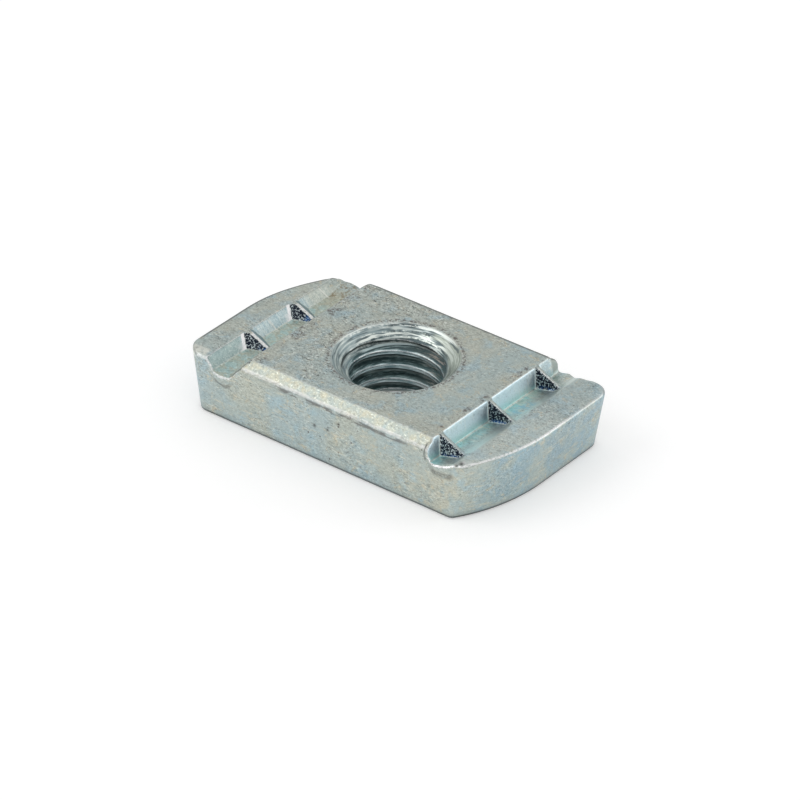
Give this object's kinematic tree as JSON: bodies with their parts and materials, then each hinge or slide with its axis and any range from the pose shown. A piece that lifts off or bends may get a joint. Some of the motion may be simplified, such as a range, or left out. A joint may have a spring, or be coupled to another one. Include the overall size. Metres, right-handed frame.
{
  "type": "channel nut",
  "caption": "Flat steel channel nut with a threaded bore, leaning ends, twist-in rounded corners and coined toothed grooves beside a raised land.",
  "frame": {"origin": "centre of the bounding box at the base, on the axis of the threaded bore", "axes": "+X along the length, towards the end whose groove has its ribs leaning on the land; +Y across the width; +Z along the bore, from the flat base up to the land"},
  "size_m": [0.0348, 0.0196, 0.0072],
  "materials": {
    "zinc_steel": "bright zinc plating, pale blue-grey with faint yellow and green tints"
  },
  "bodies": {
    "root": {"channel_nut": "zinc_steel"}
  },
  "joints": []
}
